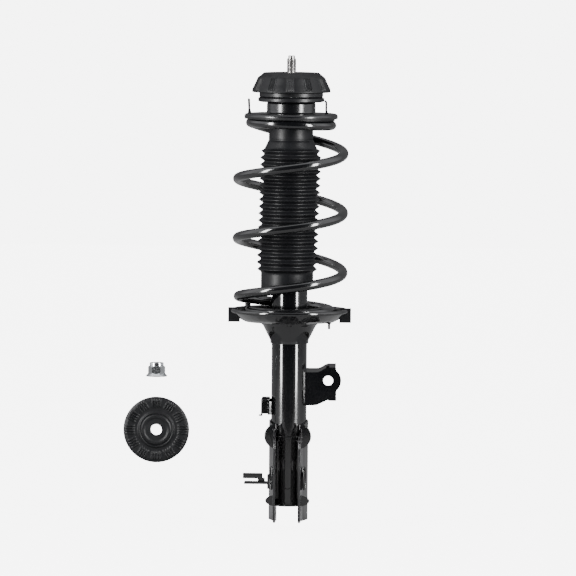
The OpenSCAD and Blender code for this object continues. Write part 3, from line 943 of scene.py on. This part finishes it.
@dataclass
class TubeWelds:
    """The welds on the tube, and the ribs pressed into the clevis.

    Attributes:
        radius: Outer radius of the tube.
        bead: Radius of a weld bead.
        proud: How far a weld's middle lies outside the tube.
        clevis_dip: How far the clevis's weld hangs down at the back.
        seam_x: Where the link bracket meets the tube.
        groove: Half the width of the clevis's front rib, and the radius of its round foot.
        groove_top: Upper end of that rib, in millimetres.
        groove_foot: Where its straight sides end, in millimetres.
    """

    radius: float = 22.5 * MM
    bead: float = 1.5 * MM
    proud: float = 0.6 * MM
    clevis_dip: float = 9.0 * MM
    seam_x: float = 18.8 * MM
    groove: float = 4.8 * MM
    groove_top: float = -466.0
    groove_foot: float = -521.0

    def dress(self) -> None:
        """Lays beads where the clevis and the side brackets meet the tube, and the ribs pressed into the clevis."""
        _, clevis_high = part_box("knuckle_bracket")
        link_low, link_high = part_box("link_bracket")
        r = self.radius + self.proud
        back = np.radians(np.linspace(12.0, 168.0, 60))
        ring = np.stack([r * np.cos(back), r * np.sin(back),
                         np.full_like(back, clevis_high.z) - self.clevis_dip * np.sin(back) ** 2], axis=-1)
        seam_y = -math.sqrt(self.radius**2 - self.seam_x**2)
        seam_z = np.linspace(link_low.z + 1.5 * MM, link_high.z - 8.5 * MM, 40)
        hose_z = np.linspace(-528.5 * MM, -512.0 * MM, 24)
        seam = np.column_stack(np.broadcast_arrays(self.seam_x + self.proud, seam_y - 0.3 * MM, seam_z))
        hose = np.column_stack(np.broadcast_arrays(-23.4 * MM, -9.5 * MM, hose_z))
        for name, path in (("clevis_weld", ring), ("link_bracket_weld", seam), ("hose_bracket_weld", hose)):
            self._lay_bead(bead(name, path, self.bead))
        turn = np.linspace(0.0, TAU, 72, endpoint=False)
        across = 0.27 + 0.22 * np.sign(np.cos(turn)) * np.abs(np.cos(turn)) ** 0.7
        for side, name in ((1.0, "right"), (-1.0, "left")):
            oval = np.stack([side * (19.6 + 5.6 * across) * MM, (-22.0 + 16.7 * across) * MM,
                             -514.5 * MM + 14.5 * MM * np.sin(turn)], axis=-1)
            self._lay_bead(bead(f"clevis_{name}_rib", oval, 0.8 * MM, ripple=0.0, closed=True))
        half = self.groove
        bend = np.radians(np.linspace(180.0, 360.0, 24))
        x = np.concatenate([np.full(30, -half), half * np.cos(bend), np.full(30, half)])
        z = np.concatenate([np.linspace(self.groove_top, self.groove_foot, 30), -522.9 + half / MM * np.sin(bend),
                            np.linspace(self.groove_foot, self.groove_top, 30)]) * MM
        groove = np.stack([x, -np.sqrt((self.radius + 2.0 * MM) ** 2 - x**2) + 0.2 * MM, z], axis=-1)
        self._lay_bead(bead("clevis_front_rib", groove, 0.6 * MM, ripple=0.0))

    @staticmethod
    def _lay_bead(piece: bpy.types.Object) -> None:
        """Paints a bead and lets it ride on the tube.

        Args:
            piece: The bead.
        """
        lay(piece, GLOSS_PAINT)
        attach(piece, Body.TUBE.value)


@dataclass
class LooseParts:
    """The rebound cap and the flange nut, laid out beside the strut.

    Attributes:
        cap_radius: Outer radius of the cap.
        groups: Groups of ribs on its face.
        ribs: Ribs in a group.
        rib_gap: Distance between neighbouring ribs.
    """

    cap_radius: float = 42.0 * MM
    groups: int = 12
    ribs: int = 4
    rib_gap: float = 3.3 * MM

    def _face_ribs(self, radius: Array, turn: Array, height: Array) -> Array:
        """Height of the ribs: raised cosines across each group's own straight direction.

        Args:
            radius: Distance from the axis.
            turn: Angle round it.
            height: Height along it.

        Returns:
            What to add to the height.
        """
        step = TAU / self.groups
        local = (turn + step / 2.0) % step - step / 2.0
        across = radius * np.sin(local)
        half = self.ribs * self.rib_gap / 2.0
        wave = 0.5 - 0.5 * np.cos(TAU * (across + half) / self.rib_gap)
        on = (np.abs(across) < half) * smooth_step(radius, 28.0 * MM, 29.5 * MM)
        on = on * (1.0 - smooth_step(radius, 38.3 * MM, 39.6 * MM)) * (height > 0.5 * MM)
        return 1.6 * MM * wave**1.4 * on

    def cap(self) -> bpy.types.Object:
        """The cap's rubber: a dished disc turned about its own axis, with ribs raised on its front.

        Returns:
            The cap, which replaces the plain one.
        """
        low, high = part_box("rebound_cap")
        center = (low + high) / 2.0
        outline = in_mm((18.2, 3.6), (18.2, -4.4), (36.5, -4.4))
        outline += arc((self.cap_radius - 2.6 * MM, -0.6 * MM), 2.6 * MM, -55, 50, 8)
        outline += in_mm((37, 2.6), (30, 2.2), (26.5, 1.4), (23.6, 1.6))
        outline += arc((21.4 * MM, 2.2 * MM), 1.5 * MM, 10, 170, 6)
        piece = Turned("rebound_cap_ribbed", outline, columns=720, step=1.2 * MM, lift=self._face_ribs,
                       axis=Axis.FRONT, center=(center.x, center.y, center.z), sharp_deg=55.0).build()
        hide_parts("rebound_cap")
        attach(piece, Body.CAP.value)
        return piece

    def nut(self) -> bpy.types.Object:
        """The nut: each height's radius is the smaller of the hexagon's and the chamfer cone's.

        Returns:
            The nut, which replaces the plain one.
        """
        low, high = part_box("stud_nut")
        center = (low + high) / 2.0
        base = low.z
        flat = 9.5 * MM
        heights = np.array([0.0, 0.0, 0.25, 1.4, 1.7, 2.4, 3.0, 3.5, 4.2, 6.0, 9.0, 11.0, 12.0, 12.6, 13.0, 13.3,
                            13.5, 13.6, 16.8, 17.5, 17.8, 17.8, 16.9, 12.0, 0.8, 0.0]) * MM
        limit = np.array([6.6, 12.9, 13.4, 13.5, 13.2, 12.2, 11.5, 11.1, 10.97, 10.97, 10.97, 10.97, 10.97, 10.6,
                          10.2, 9.8, 9.2, 8.9, 8.9, 8.7, 8.2, 5.6, 5.1, 5.1, 5.1, 6.0]) * MM
        angle = np.linspace(0.0, TAU, 144, endpoint=False)[None, :]
        folded = angle % (TAU / 6.0) - math.pi / 6.0
        hexagon = flat / np.cos(folded)
        outside = (np.arange(len(heights)) >= 8) & (np.arange(len(heights)) <= 16)
        radius = np.where(outside[:, None], np.minimum(limit[:, None], hexagon), limit[:, None] + 0.0 * angle)
        height = heights[:, None] + base + 0.0 * angle
        points = np.stack([center.x + radius * np.cos(angle), center.y + radius * np.sin(angle), height], axis=-1)
        piece = grid_mesh("flange_nut", points, True, 25.0)
        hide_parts("stud_nut")
        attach(piece, Body.NUT.value)
        return piece

    def dress(self) -> None:
        """Builds both loose pieces."""
        lay(self.cap(), MOUNT_RUBBER)
        lay(self.nut(), ZINC_PLATE)


# Studio


@dataclass
class Studio:
    """Camera, lights, surround and floor.

    Attributes:
        distance: Camera distance from its target.
        azimuth_deg: Camera azimuth, 0 looking along +Y.
        elevation_deg: Camera elevation.
        roll_deg: Turn of the camera about its own view axis.
        view_width: Width of the view at the target.
        target: Point the camera looks at.
        strip_turns: Azimuths of the tall strip lights, from the front, in degrees.
        strip_power: Power of one strip, in watts.
        strip_size: Width and height of a strip.
        strip_reach: Its distance from the damper's axis.
        strip_z: Height of its middle.
        aim_z: Height of the point that it faces.
        white: Radiance of what the camera sees behind and under the part.
        gloom: Radiance of the dark sectors that the part mirrors.
        side_glow: Radiance of the pale sides that it mirrors.
        back_glow: Radiance of what it mirrors at a grazing angle, behind it.
        floor_reach: How far the floor runs to the sides and to the back.
        floor_front: Where it ends before the part.
        floor_gap: How far it lies below the part.
    """

    distance: float = 8.0
    azimuth_deg: float = 2.2
    elevation_deg: float = 3.8
    roll_deg: float = 0.45
    view_width: float = 0.7315
    target: tuple[float, float, float] = (-0.0023, 0.0, -0.2737)
    strip_turns: tuple[float, ...] = (-51.0, 51.0)
    strip_power: float = 170.0
    strip_size: tuple[float, float] = (0.46, 3.0)
    strip_reach: float = 2.4
    strip_z: float = -0.1
    aim_z: float = -0.27
    white: float = 6.5
    gloom: float = 0.03
    side_glow: float = 1.35
    back_glow: float = 0.12
    floor_reach: float = 6.0
    floor_front: float = -1.4
    floor_gap: float = 12 * MM

    def camera(self) -> None:
        """A long lens at the height and turn of a catalogue view."""
        a, e = math.radians(self.azimuth_deg), math.radians(self.elevation_deg)
        back = Vector((math.sin(a) * math.cos(e), -math.cos(a) * math.cos(e), math.sin(e)))
        data = bpy.data.cameras.new("camera")
        data.sensor_width = 36.0
        data.lens = data.sensor_width * self.distance / self.view_width
        data.clip_end = 100.0
        camera = new_object("camera", data)
        camera.location = Vector(self.target) + back * self.distance
        turn = (-back).to_track_quat("-Z", "Y").to_matrix().to_4x4()
        roll = Matrix.Rotation(math.radians(self.roll_deg), 4, "Z")
        camera.rotation_euler = (turn @ roll).to_euler()
        bpy.context.scene.camera = camera

    def lights(self) -> None:
        """A tall strip at each side of the front."""
        for number, turn in enumerate(self.strip_turns):
            data = bpy.data.lights.new(f"strip_{number}", "AREA")
            data.shape = "RECTANGLE"
            data.size, data.size_y = self.strip_size
            data.energy = self.strip_power
            strip = new_object(f"strip_{number}", data)
            a = math.radians(turn)
            place = Vector((math.sin(a) * self.strip_reach, -math.cos(a) * self.strip_reach, self.strip_z))
            strip.location = place
            strip.rotation_euler = (Vector((0, 0, self.aim_z)) - place).to_track_quat("-Z", "Y").to_euler()

    def surround(self) -> None:
        """White to the camera; to the part, dark before, pale at the sides and dim behind, by the ray's Y."""
        world = bpy.data.worlds.new("surround")
        world.use_nodes = True
        bpy.context.scene.world = world
        tree = world.node_tree
        link = tree.links.new
        background = tree.nodes["Background"]
        place = add_node(tree, "ShaderNodeNewGeometry")
        parts = add_node(tree, "ShaderNodeSeparateXYZ")
        ahead = add_node(tree, "ShaderNodeMapRange", {"From Min": 1.0, "From Max": -1.0})
        ramp = add_node(tree, "ShaderNodeValToRGB")
        stops = ((0.0, self.gloom), (0.24, self.gloom), (0.36, self.side_glow), (0.56, self.side_glow),
                 (0.8, self.back_glow * 2.5), (1.0, self.back_glow))
        ramp.color_ramp.elements.remove(ramp.color_ramp.elements[1])
        for number, (position, glow) in enumerate(stops):
            stop = ramp.color_ramp.elements[0] if number == 0 else ramp.color_ramp.elements.new(position)
            stop.position = position
            stop.color = (glow, glow, glow * 1.03, 1.0)
        path = add_node(tree, "ShaderNodeLightPath")
        pale = {"B": (self.white, self.white, self.white, 1.0)}
        seen = add_node(tree, "ShaderNodeMix", pale, data_type="RGBA")
        link(place.outputs["Incoming"], parts.inputs["Vector"])
        link(parts.outputs["Y"], ahead.inputs["Value"])
        link(ahead.outputs["Result"], ramp.inputs["Fac"])
        link(ramp.outputs["Color"], seen.inputs["A"])
        link(path.outputs["Is Camera Ray"], seen.inputs["Factor"])
        link(seen.outputs["Result"], background.inputs["Color"])

    def floor(self) -> None:
        """A plain grey floor that is as white to the camera as the surround."""
        low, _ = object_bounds()
        size, front = self.floor_reach, self.floor_front
        corners = np.array([(-size, front), (size, front), (size, size), (-size, size)])
        points = np.column_stack([corners, np.full(4, low.z - self.floor_gap)])
        mesh = bpy.data.meshes.new("floor")
        mesh.from_pydata(points.tolist(), [], [(0, 1, 2, 3)])
        floor = new_object("floor", mesh)
        material = bpy.data.materials.new("floor_paint")
        material.use_nodes = True
        tree = material.node_tree
        shader = tree.nodes["Principled BSDF"]
        for socket, value in (("Base Color", (0.25, 0.25, 0.25, 1.0)), ("Roughness", 0.9),
                              ("Emission Color", (1.0, 1.0, 1.0, 1.0))):
            shader.inputs[socket].default_value = value
        path = add_node(tree, "ShaderNodeLightPath")
        glow = add_node(tree, "ShaderNodeMath", {1: self.white}, operation="MULTIPLY")
        tree.links.new(path.outputs["Is Camera Ray"], glow.inputs[0])
        tree.links.new(glow.outputs["Value"], shader.inputs["Emission Strength"])
        mesh.materials.append(material)
        floor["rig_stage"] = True


def main() -> None:
    """Loads the frame, builds every sub-assembly and sets the studio."""
    logging.basicConfig(level=logging.INFO, format="%(name)s: %(message)s")
    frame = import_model()
    studio = Studio()
    studio.camera()
    for node, finish in KEPT_NODES.items():
        lay(frame["nodes"][node], finish)
    rounded = {node: refined(frame, node) for node in ROUNDED_NODES}
    draw_down(rounded["upper_spring_pad"])
    for builder in (TopMount(), DustBoot(), TubeWelds(), LooseParts(), CoilSpring()):
        builder.dress()
        LOG.info("%s dressed", type(builder).__name__)
    studio.lights()
    studio.surround()
    studio.floor()


if __name__ == "__main__":
    main()
